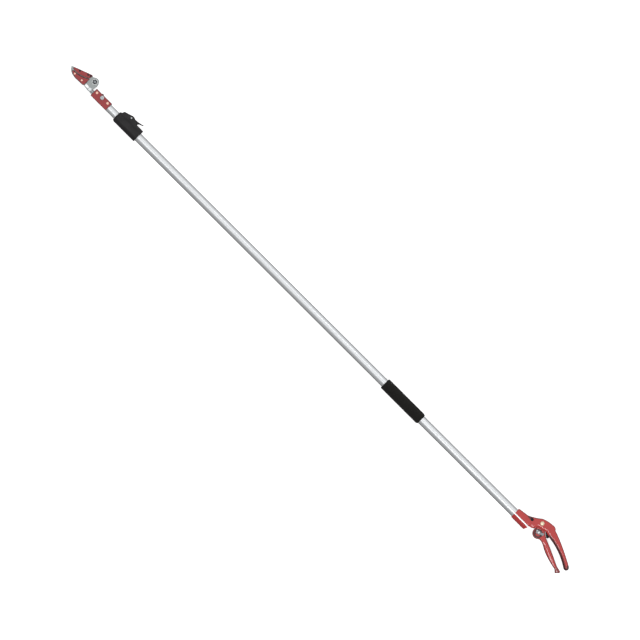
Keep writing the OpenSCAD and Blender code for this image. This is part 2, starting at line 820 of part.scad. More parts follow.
module cutting_blade() {
  eye = [rod_pin_x, 0];
  color(bright_steel) in_frame() difference() {
    slab(concat(
      [blade_pivot + [-13.8, 5], blade_pivot + [-12.4, -2]],
      arc(blade_pivot, hub_r, 200, 305),
      [blade_pivot + [11.5, -6.4], blade_pivot + [16, -7], [tip_x - 3, tip.y - 1.6], tip],
      flip(cut_line(edge_lap)),
      [blade_pivot + [14, 17], blade_pivot + [8, 19.5]],
      arc(eye, 6, -20, 180)
    ), blade_low, blade_top);
    pin(blade_pivot, bolt_d + 2 * run_gap, -far, far);
    arm_slot(blade_pivot, rod_pin_d);
    for (p = upper_rivets) pin(p, plate_rivet_d, -far, far);
  }
}

module upper_holding_plate() {
  color(dark_red) in_frame() difference() {
    slab(concat(
      arc([root_x + 3, blade_pivot.y - 5.4], 3, 180, 285, 5),
      [[tip_x - 9.5, tip.y - 3.8], [tip_x - 7.5, tip.y - 1]],
      flip([for (p = cut_line(0)) if (p.x < tip_x - 7) p])
    ), blade_top, plates_top);
    for (p = upper_rivets) pin(p, plate_rivet_d, -far, far);
  }
}

module upper_plate_rivets() {
  color(black) in_frame() for (p = upper_rivets) {
    pin(p, plate_rivet_d, blade_low, plates_top);
    pin(p, plate_rivet_d + 1.6, plates_top, plates_top + 0.9);
  }
}

washer_low = blade_top + face_gap;
washer_t = 1;
bolt_head_h = 4;

module pivot_bolt() {
  color(steel) in_frame() {
    pin(blade_pivot, bolt_d, counter_low, blade_top + 6);
    translate([blade_pivot.x, blade_pivot.y, counter_low - bolt_head_h])
      cylinder(d = bolt_d + 7, h = bolt_head_h, $fn = 6);
  }
}

module pivot_washer() {
  color(bright_steel) in_frame() difference() {
    pin(blade_pivot, 2 * bolt_d, washer_low, washer_low + washer_t);
    pin(blade_pivot, bolt_d, -far, far);
  }
}

module pivot_nut() {
  color(bright_steel) in_frame() difference() {
    translate([blade_pivot.x, blade_pivot.y, washer_low + washer_t])
      cylinder(d = bolt_d + 6, h = 4.4, $fn = 6);
    pin(blade_pivot, bolt_d, -far, far);
  }
}

outer_tube();
foam_grip();
handle_body();
socket_clamp_shell();
socket_clamp_screws();
neck_screw();
trigger_pivot_pin();
handle_bumper();
rod_guide_bush();
return_spring();
collar_housing();
collar_liner();
collar_lever_pin();
collar_tube_screws();
collar_cheek_screws();
brake_shoe();
trigger_lever();
catch_screw();
catch_latch();
link_rod();
link_pin();
draw_crosshead();
draw_tube();
rod_clamp();
inner_tube();
inner_tube_bush();
head_bracket();
bracket_rivets();
bracket_screw();
bracket_back_screw();
head_block();
counter_blade();
lower_holding_plate();
lower_plate_rivets();
grip_strip();
pivot_bolt();
pivot_washer();
pivot_nut();
draw_rod();
rod_pin();
cutting_blade();
upper_holding_plate();
upper_plate_rivets();
collar_lever();
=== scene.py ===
import json
import math

import bmesh
import bpy
import numpy as np
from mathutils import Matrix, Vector

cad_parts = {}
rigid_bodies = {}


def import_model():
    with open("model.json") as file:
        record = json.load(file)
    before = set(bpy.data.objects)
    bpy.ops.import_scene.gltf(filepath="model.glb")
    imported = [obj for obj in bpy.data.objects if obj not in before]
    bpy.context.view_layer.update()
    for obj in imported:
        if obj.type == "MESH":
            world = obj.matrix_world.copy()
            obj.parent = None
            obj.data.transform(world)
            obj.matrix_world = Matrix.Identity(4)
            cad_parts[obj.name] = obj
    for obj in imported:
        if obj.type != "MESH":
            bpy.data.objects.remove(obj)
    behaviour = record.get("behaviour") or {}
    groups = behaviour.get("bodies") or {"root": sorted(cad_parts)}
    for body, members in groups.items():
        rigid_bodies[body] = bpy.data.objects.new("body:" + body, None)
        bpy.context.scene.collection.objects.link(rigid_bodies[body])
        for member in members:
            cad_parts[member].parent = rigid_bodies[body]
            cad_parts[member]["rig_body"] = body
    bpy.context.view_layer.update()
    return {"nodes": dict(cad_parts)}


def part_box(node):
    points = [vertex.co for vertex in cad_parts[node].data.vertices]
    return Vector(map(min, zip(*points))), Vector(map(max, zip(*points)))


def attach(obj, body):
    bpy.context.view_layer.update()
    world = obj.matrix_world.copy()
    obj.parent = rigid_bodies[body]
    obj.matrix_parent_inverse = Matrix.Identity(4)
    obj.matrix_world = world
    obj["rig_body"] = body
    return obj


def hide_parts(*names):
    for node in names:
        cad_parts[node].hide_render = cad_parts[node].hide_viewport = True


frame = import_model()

scene = bpy.context.scene
MM = 0.001
POLE_Y = (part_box("outer_tube")[0][1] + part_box("outer_tube")[1][1]) / 2
POLE_Z = (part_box("outer_tube")[0][2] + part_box("outer_tube")[1][2]) / 2
POLE_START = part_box("outer_tube")[0][0]


# ---- Stage: a pale sweep of studio paper, three strip boxes and a long lens straight above ----
# The tool lies on its side and the lens looks down on it; the pole runs corner to corner.
def linear(hex_colour, alpha=1.0):
    """sRGB hex to linear: c / 12.92 below the toe, ((c + 0.055) / 1.055) ^ 2.4 above it."""
    c = np.array([int(hex_colour[i:i + 2], 16) for i in (0, 2, 4)]) / 255
    c = np.where(c <= 0.04045, c / 12.92, ((c + 0.055) / 1.055) ** 2.4)
    return (*c.tolist(), alpha)


def add(tree, kind, inputs=None, **settings):
    """Adds one shader node with its settings; an input is a socket to link from, or a value."""
    node = tree.nodes.new("ShaderNode" + kind)
    for name, value in settings.items():
        setattr(node, name, value)
    for name, value in (inputs or {}).items():
        if isinstance(value, bpy.types.NodeSocket):
            tree.links.new(value, node.inputs[name])
        else:
            node.inputs[name].default_value = value
    return node


def surface(name, **shader):
    """A material with one principled shader, its values set on the shader's own sockets. Returns the
    material, its node tree, the shader and the Object coordinates."""
    material = bpy.data.materials.new(name)
    material.use_nodes = True
    tree = material.node_tree
    principled = next(n for n in tree.nodes if n.type == "BSDF_PRINCIPLED")
    for socket, value in shader.items():
        principled.inputs[socket.replace("_", " ")].default_value = value
    return material, tree, principled, add(tree, "TexCoord").outputs["Object"]


def in_scene(name, data):
    thing = bpy.data.objects.new(name, data)
    scene.collection.objects.link(thing)
    return thing


def aim(thing, place, target):
    thing.location = place
    thing.rotation_mode = "QUATERNION"
    thing.rotation_quaternion = (Vector(target) - Vector(place)).to_track_quat("-Z", "Y")


VIEW_WIDTH = 1.756
LENS_HEIGHT = 24.0
VIEW_CENTRE = (POLE_START + 0.79945, POLE_Y + 0.00257)
camera = in_scene("long_lens", bpy.data.cameras.new("long_lens"))
camera.data.sensor_width = 36
camera.data.lens = 36 * LENS_HEIGHT / VIEW_WIDTH
camera.data.clip_start, camera.data.clip_end = 1, 200
camera.location = (*VIEW_CENTRE, LENS_HEIGHT)
camera.rotation_euler = (0, 0, math.radians(224.92))
scene.camera = camera

# The paper glows a little, as a back-lit table does, and its light is kept off the tool.
paper_material, tree, shader, coords = surface("matt white studio paper", Roughness=0.9,
                                               Emission_Strength=0.75)
fibre = add(tree, "TexNoise", {"Vector": coords, "Scale": 60, "Detail": 4})
tone = add(tree, "MapRange", {"Value": fibre.outputs["Fac"], "To Min": 0.93, "To Max": 0.96})
tint = add(tree, "CombineColor", {"Red": tone.outputs[0], "Green": tone.outputs[0], "Blue": tone.outputs[0]})
tree.links.new(tint.outputs[0], shader.inputs["Base Color"])
shader.inputs["Emission Color"].default_value = linear("ffffff")
paper_half, paper_level = 30, -0.0004
paper_corners = [(x * paper_half, y * paper_half, paper_level)
                 for x, y in ((-1, -1), (1, -1), (1, 1), (-1, 1))]
paper_mesh = bpy.data.meshes.new("studio_paper")
paper_mesh.from_pydata(paper_corners, [], [(0, 1, 2, 3)])
paper_mesh.materials.append(paper_material)
paper = in_scene("studio_paper", paper_mesh)
paper.visible_diffuse = paper.visible_glossy = False

# A white room, bright high up on the back side and grey at the horizon, over a dark floor. The lens
# itself sees a plain white backdrop.
world = bpy.data.worlds.new("studio")
world.use_nodes = True
tree = world.node_tree
direction = add(tree, "TexCoord").outputs["Generated"]
toward = add(tree, "VectorMath", {0: direction, 1: (0, -0.62, 0.78)}, operation="DOT_PRODUCT")
share = add(tree, "MapRange", {"Value": toward.outputs["Value"], "From Min": -1.0})
room = add(tree, "ValToRGB", {"Fac": share.outputs[0]})
for place, grey in ((0.03, 0.32), (0.25, 0.38), (0.5, 0.43), (0.72, 0.61), (0.875, 0.74), (0.98, 0.92)):
    stop = room.color_ramp.elements.new(place)
    stop.color = (grey, grey, grey * 1.01, 1)
room.color_ramp.elements.remove(room.color_ramp.elements[0])
room.color_ramp.elements.remove(room.color_ramp.elements[-1])
height = add(tree, "SeparateXYZ", {"Vector": direction})
lift = add(tree, "MapRange", {"Value": height.outputs["Z"], "From Min": -0.85, "From Max": -0.25,
                              "To Min": 0.35})
background = next(n for n in tree.nodes if n.type == "BACKGROUND")
seen = add(tree, "LightPath").outputs["Is Camera Ray"]
backdrop = add(tree, "MixRGB", {"Fac": seen, "Color1": room.outputs["Color"], "Color2": linear("f7f8f9")})
steady = add(tree, "Math", {0: lift.outputs[0], 1: seen}, operation="MAXIMUM")
tree.links.new(backdrop.outputs[0], background.inputs["Color"])
tree.links.new(steady.outputs[0], background.inputs["Strength"])
scene.world = world
STRIP_WIDTH = 0.5
for name, place, length, power in (("strip_box_handle_end", (-1.25, 0.7, 3.6), 1.0, 13),
                                   ("strip_box_middle", (-0.05, -2.4, 3.3), 0.8, 5),
                                   ("strip_box_head_end", (1.25, 0.7, 3.6), 1.0, 8)):
    lamp = in_scene(name, bpy.data.lights.new(name, "AREA"))
    lamp.data.shape, lamp.data.size, lamp.data.size_y = "RECTANGLE", length, STRIP_WIDTH
    lamp.data.energy = power
    lamp.visible_camera = False
    aim(lamp, place, (place[0], 0, 0))
scene.view_settings.view_transform = "Standard"


# ---- Pole tubes: two drawn aluminium tubes, anodised, and the thin draw tube inside ----
# Drawn through a die, so the fine lines run lengthwise; the cut ends are lightly deburred.
SAME_PLACE = 1e-7


def mesh_of(name, points, faces, smooth_angle=35):
    """A mesh from arrays of points and faces; edges sharper than the angle stay crisp."""
    mesh = bpy.data.meshes.new(name)
    mesh.from_pydata(points.tolist(), [], faces)
    mesh.validate()
    tidy = bmesh.new()
    tidy.from_mesh(mesh)
    bmesh.ops.remove_doubles(tidy, verts=tidy.verts, dist=SAME_PLACE)
    bmesh.ops.recalc_face_normals(tidy, faces=tidy.faces)
    tidy.to_mesh(mesh)
    tidy.free()
    mesh.shade_smooth()
    mesh.set_sharp_from_angle(angle=math.radians(smooth_angle))
    return mesh


def piece(name, mesh, material, node):
    """Puts a mesh in the scene as one piece: its finish, its CAD node hidden, and that node's body."""
    thing = in_scene(name, mesh)
    mesh.materials.clear()
    mesh.materials.append(material)
    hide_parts(node)
    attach(thing, frame["nodes"][node]["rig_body"])
    return thing


def finish_node(material, *nodes):
    """A CAD node whose shape is right stays and gets this finish in all its material slots."""
    for name in nodes:
        for place in frame["nodes"][name].material_slots:
            place.material = material


def grid_faces(rows, sides, closed):
    """Quads between neighbouring rings of a grid; if closed, the last ring is joined to the first."""
    i, j = np.meshgrid(np.arange(rows if closed else rows - 1), np.arange(sides), indexing="ij")
    down, across = (i + 1) % rows, (j + 1) % sides
    faces = np.stack([i * sides + j, down * sides + j, down * sides + across, i * sides + across], -1)
    return faces.reshape(-1, 4).tolist()


def turned(profile, sides=64, closed=True):
    """A profile of (along, radius) turned about the line along: a point sits at radius times the
    cosine and sine of the turn. A closed profile makes a ring, an open one runs from pole to pole."""
    profile = np.asarray(profile, float)
    turn = 2 * np.pi * np.arange(sides) / sides
    along = np.repeat(profile[:, 0], sides)
    radius = np.repeat(profile[:, 1], sides)
    turns = np.tile(turn, len(profile))
    points = np.stack([along, radius * np.cos(turns), radius * np.sin(turns)], 1)
    return points, grid_faces(len(profile), sides, closed)


def tube_profile(low, high, outside, bore, bevel):
    """A closed section of a tube wall between two places along it, its corners cut by the bevel."""
    return [(low + bevel, outside), (high - bevel, outside), (high, outside - bevel), (high, bore + bevel),
            (high - bevel, bore), (low + bevel, bore), (low, bore + bevel), (low, outside - bevel)]


def drawn_aluminium(name, colour, dull):
    """Satin anodised aluminium. The eye sees soft lengthwise streaks; the real die lines are a tenth of
    a millimetre and are drawn 0.8 mm wide and 90 mm long, so that they show."""
    material, tree, shader, coords = surface(name, Metallic=1.0, Roughness=dull)
    stretched = add(tree, "Mapping", {"Vector": coords, "Scale": (1 / 0.09, 1 / 0.0008, 1 / 0.0008)})
    lines = add(tree, "TexNoise", {"Vector": stretched.outputs[0], "Scale": 1.0, "Detail": 3})
    cloud = add(tree, "TexNoise", {"Vector": coords, "Scale": 1 / 0.06, "Detail": 2})
    streak = add(tree, "MapRange", {"Value": lines.outputs["Fac"], "From Min": 0.3, "From Max": 0.7,
                                    "To Min": dull - 0.05, "To Max": dull + 0.08})
    handled = add(tree, "Math", {0: cloud.outputs["Fac"], 1: 0.08, 2: streak.outputs[0]},
                  operation="MULTIPLY_ADD")
    tree.links.new(handled.outputs[0], shader.inputs["Roughness"])
    shade = add(tree, "MixRGB", {"Fac": lines.outputs["Fac"], "Color1": linear(colour),
                                 "Color2": linear("f2f4f5")})
    tree.links.new(shade.outputs[0], shader.inputs["Base Color"])
    bump = add(tree, "Bump", {"Height": lines.outputs["Fac"], "Strength": 0.25, "Distance": 0.00003})
    tree.links.new(bump.outputs[0], shader.inputs["Normal"])
    return material


aluminium = drawn_aluminium("drawn anodised aluminium", "d9dcde", 0.3)


def radius_of(node):
    low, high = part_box(node)
    return (high[1] - low[1]) / 2


TUBE_WALL = 1.0 * MM
DEBURR = 0.25 * MM
for node, name in (("outer_tube", "outer_pole"), ("inner_tube", "inner_pole_tube"),
                   ("draw_tube", "draw_tube_inside")):
    low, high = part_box(node)
    outside = radius_of(node)
    points, faces = turned(tube_profile(low[0], high[0], outside, outside - TUBE_WALL, DEBURR), 96)
    points += np.array([0, POLE_Y, POLE_Z])
    piece(name, mesh_of(name, points, faces), aluminium, node)


# ---- Foam grip: a closed-cell foam sleeve pushed on the outer pole ----
# Cut from extruded foam hose: its skin is matt and slightly uneven, and one end is bevelled.
FOAM_LOW, FOAM_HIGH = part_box("foam_grip")
FOAM_RADIUS = radius_of("foam_grip")


def foam_sleeve(rows=150, sides=128):
    """A sleeve of rows along the pole: its radius is the grip's, less a round-off that falls like a
    quarter ellipse towards each end, less shallow waves: the sum of three sines of place and turn."""
    length = FOAM_HIGH[0] - FOAM_LOW[0]
    share = np.linspace(0, 1, rows)
    along = length * (share - 0.06 * np.sin(4 * np.pi * share) / 2)
    soft_end, cut_end, soft_drop, cut_drop, wave = 9 * MM, 4 * MM, 0.80, 0.45, 0.06 * MM
    start = np.clip(1 - along / soft_end, 0, 1)
    end = np.clip(1 - (length - along) / cut_end, 0, 1)
    wall = FOAM_RADIUS - radius_of("outer_tube")
    radius = FOAM_RADIUS - soft_drop * wall * (1 - np.sqrt(1 - start ** 2))
    radius -= cut_drop * wall * (1 - np.sqrt(1 - end ** 2))
    turn = 2 * np.pi * np.arange(sides) / sides
    a, t = np.meshgrid(along / MM, turn, indexing="ij")
    waves = np.sin(a / 9.1 + 2 * t) + np.sin(a / 5.3 - 3 * t + 1.3) + np.sin(a / 14.7 + 5 * t + 0.4)
    body = radius[:, None] - wave * (waves + 3) * (1 - np.maximum(start, end)[:, None])
    seat = radius_of("outer_tube") + 0.02 * MM
    ring = np.concatenate([np.full((1, sides), seat), body, np.full((1, sides), seat)])
    place = np.concatenate([[along[0]], along, [along[-1]]])[:, None] + np.zeros((1, sides))
    points = np.stack([place + FOAM_LOW[0], POLE_Y + ring * np.cos(turn), POLE_Z + ring * np.sin(turn)], -1)
    return points.reshape(-1, 3), grid_faces(len(ring), sides, True)


foam_material, tree, shader, coords = surface("closed cell foam rubber", Roughness=0.92,
                                              Specular_IOR_Level=0.25, Sheen_Weight=0.06, Sheen_Roughness=0.5)
# Skin cells are about 0.6 mm and are drawn 1.3 mm, so that they show; they leave a grainy, dull black.
cells = add(tree, "TexVoronoi", {"Vector": coords, "Scale": 1 / 0.0013, "Randomness": 1.0})
grain = add(tree, "TexNoise", {"Vector": coords, "Scale": 1 / 0.004, "Detail": 5})
blend = add(tree, "Math", {0: grain.outputs["Fac"], 1: 0.6, 2: cells.outputs["Distance"]},
            operation="MULTIPLY_ADD")
spread = add(tree, "ValToRGB", {"Fac": blend.outputs[0]})
spread.color_ramp.elements[0].position, spread.color_ramp.elements[1].position = 0.25, 1.0
spread.color_ramp.elements[0].color, spread.color_ramp.elements[1].color = linear("0a0a09"), linear("1f1e1b")
tree.links.new(spread.outputs["Color"], shader.inputs["Base Color"])
bump = add(tree, "Bump", {"Height": blend.outputs[0], "Strength": 0.8, "Distance": 0.00025})
tree.links.new(bump.outputs[0], shader.inputs["Normal"])
points, faces = foam_sleeve()
foam = piece("foam_sleeve", mesh_of("foam_sleeve", points, faces, 70), foam_material, "foam_grip")


# ---- Fixed handle: a zinc die casting in gloss red enamel, hollow on its palm side ----
# Its cheeks are crowned, so they catch one soft light and fall dark towards the palm; that side is darkened
# further with painted shade.
def welded(node):
    """A CAD node's loose triangles merged into a closed mesh, those of one flat face joined."""
    mesh = frame["nodes"][node].data.copy()
    mesh.name = node + "_welded"
    solid = bmesh.new()
    solid.from_mesh(mesh)
    bmesh.ops.remove_doubles(solid, verts=solid.verts, dist=2e-6)
    bmesh.ops.dissolve_limit(solid, angle_limit=math.radians(0.4), verts=solid.verts, edges=solid.edges,
                             delimit=set())
    solid.to_mesh(mesh)
    solid.free()
    if "custom_normal" in mesh.attributes:
        mesh.attributes.remove(mesh.attributes["custom_normal"])
    return mesh


def outline_of(mesh, top, holes):
    """The edges where a flat cheek meets its side walls, as (start, end, outward), without those near
    the holes."""
    solid = bmesh.new()
    solid.from_mesh(mesh)
    solid.normal_update()
    found = []
    for edge in solid.edges:
        if len(edge.link_faces) != 2 or min(v.co.z for v in edge.verts) < top - 1e-5:
            continue
        walls = [f.normal for f in edge.link_faces if abs(f.normal.z) < 0.5]
        middle = (edge.verts[0].co + edge.verts[1].co) / 2
        if len(walls) == 1 and all((middle.xy - Vector(c)).length > r for c, r in holes):
            found.append([*edge.verts[0].co.xy, *edge.verts[1].co.xy, *walls[0].xy])
    solid.free()
    return np.array(found)


def distance_to(lines, xy):
    """Shortest distance from each point to a set of straight edges: the point's place along each edge
    is clamped to its ends, and the least of the lengths left over is kept, one metre at most."""
    least = np.ones(len(xy))
    for x0, y0, x1, y1, *_ in lines:
        a, d = np.array([x0, y0]), np.array([x1 - x0, y1 - y0])
        share = np.clip(((xy - a) @ d) / (d @ d), 0, 1)
        least = np.minimum(least, np.linalg.norm(xy - a - share[:, None] * d, axis=1))
    return least


def quarter_round(distance, width, edge):
    """1 inside, falling to edge at the outline along a quarter ellipse as wide as width."""
    near = np.clip(1 - distance / width, 0, 1)
    return edge + (1 - edge) * np.sqrt(1 - near ** 2)


def step(value, low, high):
    """0 below low, 1 above high, and smooth between: 3 t^2 - 2 t^3."""
    t = np.clip((value - low) / (high - low), 0, 1)
    return t * t * (3 - 2 * t)


def get_points(mesh):
    points = np.empty(len(mesh.vertices) * 3, np.float32)
    mesh.vertices.foreach_get("co", points)
    return points.reshape(-1, 3).astype(float)


def set_points(mesh, points):
    mesh.vertices.foreach_set("co", points.astype(np.float32).ravel())
    mesh.update()


def relaxed(mesh, rounds):
    """Evens a mesh out: each point moves half way to the mean of its neighbours, then a little more
    than half way back, which takes off ridges and keeps the size."""
    points = get_points(mesh)
    ends = np.empty(len(mesh.edges) * 2, np.int32)
    mesh.edges.foreach_get("vertices", ends)
    a, b = ends.reshape(-1, 2).T
    count = np.bincount(a, minlength=len(points)) + np.bincount(b, minlength=len(points))
    for amount in (0.5, -0.52) * rounds:
        mean = np.stack([np.bincount(a, points[b, k], len(points)) + np.bincount(b, points[a, k], len(points))
                         for k in range(3)], 1) / count[:, None]
        points += amount * (mean - points)
    set_points(mesh, points)


def cast_form(node, cell, rounds, crown=None):
    """The CAD node's form as a moulded one: rebuilt on an even grid of cells, its thickness beyond a
    core scaled by the crown, and relaxed, so its corners are round as a casting's are. The crown also
    gives painted shade: how dark each place is painted, from 0 to 1, which the mesh keeps as an attribute."""
    flat = welded(node)
    thing = in_scene(node + "_form", flat)
    grid = thing.modifiers.new("cells", "REMESH")
    grid.mode, grid.voxel_size, grid.use_smooth_shade = "VOXEL", cell, True
    mesh = bpy.data.meshes.new_from_object(thing.evaluated_get(bpy.context.evaluated_depsgraph_get()))
    bpy.data.objects.remove(thing)
    if crown:
        points = get_points(mesh)
        height = points[:, 2] - POLE_Z
        scale, core, painted_shade = crown(points[:, :2], height, flat)
        kept = np.clip(height, -core, core)
        points[:, 2] = POLE_Z + kept + (height - kept) * scale
        set_points(mesh, points)
        # The painted shade is stored per point for the enamel to read.
        mesh.attributes.new("painted_shade", "FLOAT", "POINT").data.foreach_set("value", painted_shade.astype(np.float32))
    relaxed(mesh, rounds)
    mesh.shade_smooth()
    mesh.name = node + "_cast"
    return mesh


def middle_of(node):
    low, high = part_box(node)
    return np.array([(low[0] + high[0]) / 2, (low[1] + high[1]) / 2])


def enamel(name, colour, deep, shadow, worn):
    """Gloss stoving enamel on metal: a deep red under a clear gloss with a faint orange peel of 2 mm.
    The eye sees crisp soft-box lights and a little rubbed metal on the corners. Painted shade, kept
    as an attribute of the mesh and mottled by fine noise, mixes the paint towards the shadow colour."""
    material, tree, shader, coords = surface(name, Roughness=0.4, Specular_IOR_Level=0.3, Coat_Weight=1.0,
                                             Coat_Roughness=0.07, Coat_IOR=1.55)
    cloud = add(tree, "TexNoise", {"Vector": coords, "Scale": 1 / 0.03, "Detail": 3})
    tone = add(tree, "MixRGB", {"Fac": cloud.outputs["Fac"], "Color1": linear(colour),
                                "Color2": linear(deep)})
    speck = add(tree, "TexNoise", {"Vector": coords, "Scale": 1 / 0.0025, "Detail": 6})
    # Painted shade: the mesh's shade attribute, broken up by fine noise, darkens the paint towards the shadow
    # colour.
    painted_shade_attribute = add(tree, "Attribute", attribute_name="painted_shade")
    painted_shade_mottle = add(tree, "Math", {0: speck.outputs["Fac"], 1: 0.5, 2: 0.75}, operation="MULTIPLY_ADD")
    dark = add(tree, "Math", {0: painted_shade_attribute.outputs["Fac"], 1: painted_shade_mottle.outputs[0]}, operation="MULTIPLY",
               use_clamp=True)
    paint_with_painted_shade = add(tree, "MixRGB", {"Fac": dark.outputs[0], "Color1": tone.outputs[0],
                                  "Color2": linear(shadow)})
    edge = add(tree, "NewGeometry")
    rub = add(tree, "Math", {0: speck.outputs["Fac"], 1: 0.16, 2: edge.outputs["Pointiness"]},
              operation="MULTIPLY_ADD")
    bare = add(tree, "MapRange", {"Value": rub.outputs[0], "From Min": worn, "From Max": worn + 0.03,
                                  "To Max": 0.55})
    paint = add(tree, "MixRGB", {"Fac": bare.outputs[0], "Color1": paint_with_painted_shade.outputs[0],
                                 "Color2": linear("6b4a48")})
    tree.links.new(paint.outputs[0], shader.inputs["Base Color"])
    peel = add(tree, "TexNoise", {"Vector": coords, "Scale": 1 / 0.002, "Detail": 2})
    bump = add(tree, "Bump", {"Height": peel.outputs["Fac"], "Strength": 0.12, "Distance": 0.0001})
    tree.links.new(bump.outputs[0], shader.inputs["Normal"])
    dull = add(tree, "MapRange", {"Value": speck.outputs["Fac"], "To Min": 0.34, "To Max": 0.48})
    tree.links.new(dull.outputs[0], shader.inputs["Roughness"])
    return material


red_enamel = enamel("gloss red enamel on a zinc casting", "cf322e", "bd2929", "4a1014", 0.66)
PIVOT = middle_of("trigger_pivot_pin")
NECK = middle_of("neck_screw")
HOLLOW_HALF = 8 * MM
RECESS_REACH = np.array([13, -1]) * MM


def facing(lines, side):
    """The edges of an outline that look to one side of the tool: 1 is the trigger's, -1 the other."""
    return lines[side * lines[:, 5] > 0.2]


def handle_crown(xy, height, flat):
    """Thickness left at a place: a wide quarter round from the palm edge times a narrower one from the
    back; round the hollow only the cheeks outside it are thinned. Painted shade lies along the palm,
    thinly along the back, and on both cheeks in an oblong by the neck screw, painted dark as a recess's
    shade where no recess is cut."""
    arm_cheek = max(v.co.z for v in flat.vertices if v.co.x < POLE_START - 40 * MM)
    lines = outline_of(flat, arm_cheek, [(tuple(PIVOT), 8 * MM), (tuple(NECK), 6 * MM)])
    from_palm = distance_to(facing(lines, 1), xy)
    from_back = distance_to(facing(lines, -1), xy)
    past_pivot = xy[:, 0] - PIVOT[0]
    crown = quarter_round(from_palm, 8.5 * MM, 0.25) * quarter_round(from_back, 4 * MM, 0.5)
    near_socket = step(xy[:, 0], POLE_START - 12 * MM, POLE_START + 8 * MM)
    thinned = (1 - crown) * (1 - 0.75 * near_socket)
    along_arm = 1 - step(past_pivot, -44 * MM, -30 * MM)
    # Painted shade along the palm edge of the arm.
    palm_painted_shade = along_arm * (1 - step(from_palm, 4.5 * MM, 8 * MM))
    # Painted shade: a thin dark line along the back edge.
    back_painted_shade = 0.75 * (1 - step(from_back, 0.8 * MM, 2.8 * MM))
    # Painted shade: a dark oblong by the neck screw standing in for a recess's shade.
    recess = distance_to([[*NECK, *(NECK + RECESS_REACH)]], xy)
    on_cheek = step(np.abs(height), 8.5 * MM, 10.5 * MM)
    recess_painted_shade = 0.95 * on_cheek * (1 - step(recess, 2.8 * MM, 5 * MM))
    core = HOLLOW_HALF * step(past_pivot, -62 * MM, -44 * MM)
    return 1 - thinned, core, np.maximum(np.maximum(palm_painted_shade, back_painted_shade), recess_painted_shade)


piece("handle_casting", cast_form("handle_body", 0.8 * MM, 5, handle_crown), red_enamel, "handle_body")


# ---- Clamp shell of the socket: the lower half that two screws draw against the pole ----
# The same red casting; a gap to the upper half shows along the pole.
def rounded_copy(node, name, material, width, segments=3, angle=30):
    """The CAD node's own form with a small round on every corner sharper than the angle."""
    mesh = welded(node)
    mesh.shade_smooth()
    thing = piece(name, mesh, material, node)
    corners = thing.modifiers.new("corners", "BEVEL")
    corners.width, corners.segments, corners.limit_method = width, segments, "ANGLE"
    corners.angle_limit = math.radians(angle)
    even = thing.modifiers.new("even", "WEIGHTED_NORMAL")
    even.weight = 100
    return thing


rounded_copy("socket_clamp_shell", "clamp_shell", red_enamel, 0.7 * MM)


# ---- Screws of handle and collar: zinc plated machine screws, and one of blackened steel ----
# Rolled and plated; the plating is grey, satin and faintly blotchy.
def plated_steel(name, colour, dull, blotch):
    """Plated or polished steel. The eye sees a satin grey with soft blotches of 3 mm and fine turning
    marks; the marks are drawn 0.5 mm wide."""
    material, tree, shader, coords = surface(name, Metallic=1.0, Roughness=dull)
    cloud = add(tree, "TexNoise", {"Vector": coords, "Scale": 1 / 0.003, "Detail": 3})
    tone = add(tree, "MixRGB", {"Fac": cloud.outputs["Fac"], "Color1": linear(colour),
                                "Color2": linear(blotch)})
    tree.links.new(tone.outputs[0], shader.inputs["Base Color"])
    marks = add(tree, "TexNoise", {"Vector": coords, "Scale": 1 / 0.0005, "Detail": 4})
    rough = add(tree, "MapRange", {"Value": marks.outputs["Fac"], "To Min": dull - 0.08,
                                   "To Max": dull + 0.1})
    tree.links.new(rough.outputs[0], shader.inputs["Roughness"])
    bump = add(tree, "Bump", {"Height": marks.outputs["Fac"], "Strength": 0.2, "Distance": 0.00003})
    tree.links.new(bump.outputs[0], shader.inputs["Normal"])
    return material


zinc_steel = plated_steel("zinc plated steel", "a9adb0", 0.38, "c4c8ca")
nickel_steel = plated_steel("nickel plated steel", "d4d7d8", 0.24, "eceeee")
black_steel = plated_steel("blackened steel", "242324", 0.42, "38363a")
finish_node(zinc_steel, "socket_clamp_screws", "collar_lever_pin", "collar_tube_screws", "link_rod",
            "link_pin", "rod_clamp", "return_spring", "draw_rod")
finish_node(black_steel, "neck_screw", "bracket_back_screw", "collar_cheek_screws")
finish_node(nickel_steel, "rod_pin")


# ---- Pivot pin of the trigger: a pale brass pin with a low domed head on both cheeks ----
# Turned and riveted over; the head is satin with a faint ring.
def upright(profile, centres, sides=48):
    """Turned forms standing on the cheeks: a profile of (height, radius) about each centre."""
    points, faces, size = [], [], 0
    for centre in centres:
        p, f = turned(profile, sides, closed=False)
        points.append(np.stack([p[:, 1] + centre[0], p[:, 2] + centre[1], p[:, 0] + POLE_Z], 1))
        faces += (np.array(f) + size).tolist()
        size += len(p)
    return np.concatenate(points), faces


def dome(low, high, radius, rows=9):
    """A head's section from its rim up to its middle: a quarter ellipse, steeper at the rim."""
    turn = np.linspace(0, np.pi / 2, rows)
    return [(low + (high - low) * s, radius * c) for s, c in zip(np.sin(turn), np.cos(turn) ** 0.7)]


def riveted(low, low_head, high, high_head, shank, head):
    """A rivet from its lower dome, along its shank, to its upper dome."""
    bottom = [(low - (z - low), r) for z, r in dome(low, low + low_head, head)][::-1]
    return bottom + [(low, shank), (high, shank)] + dome(high, high + high_head, head)


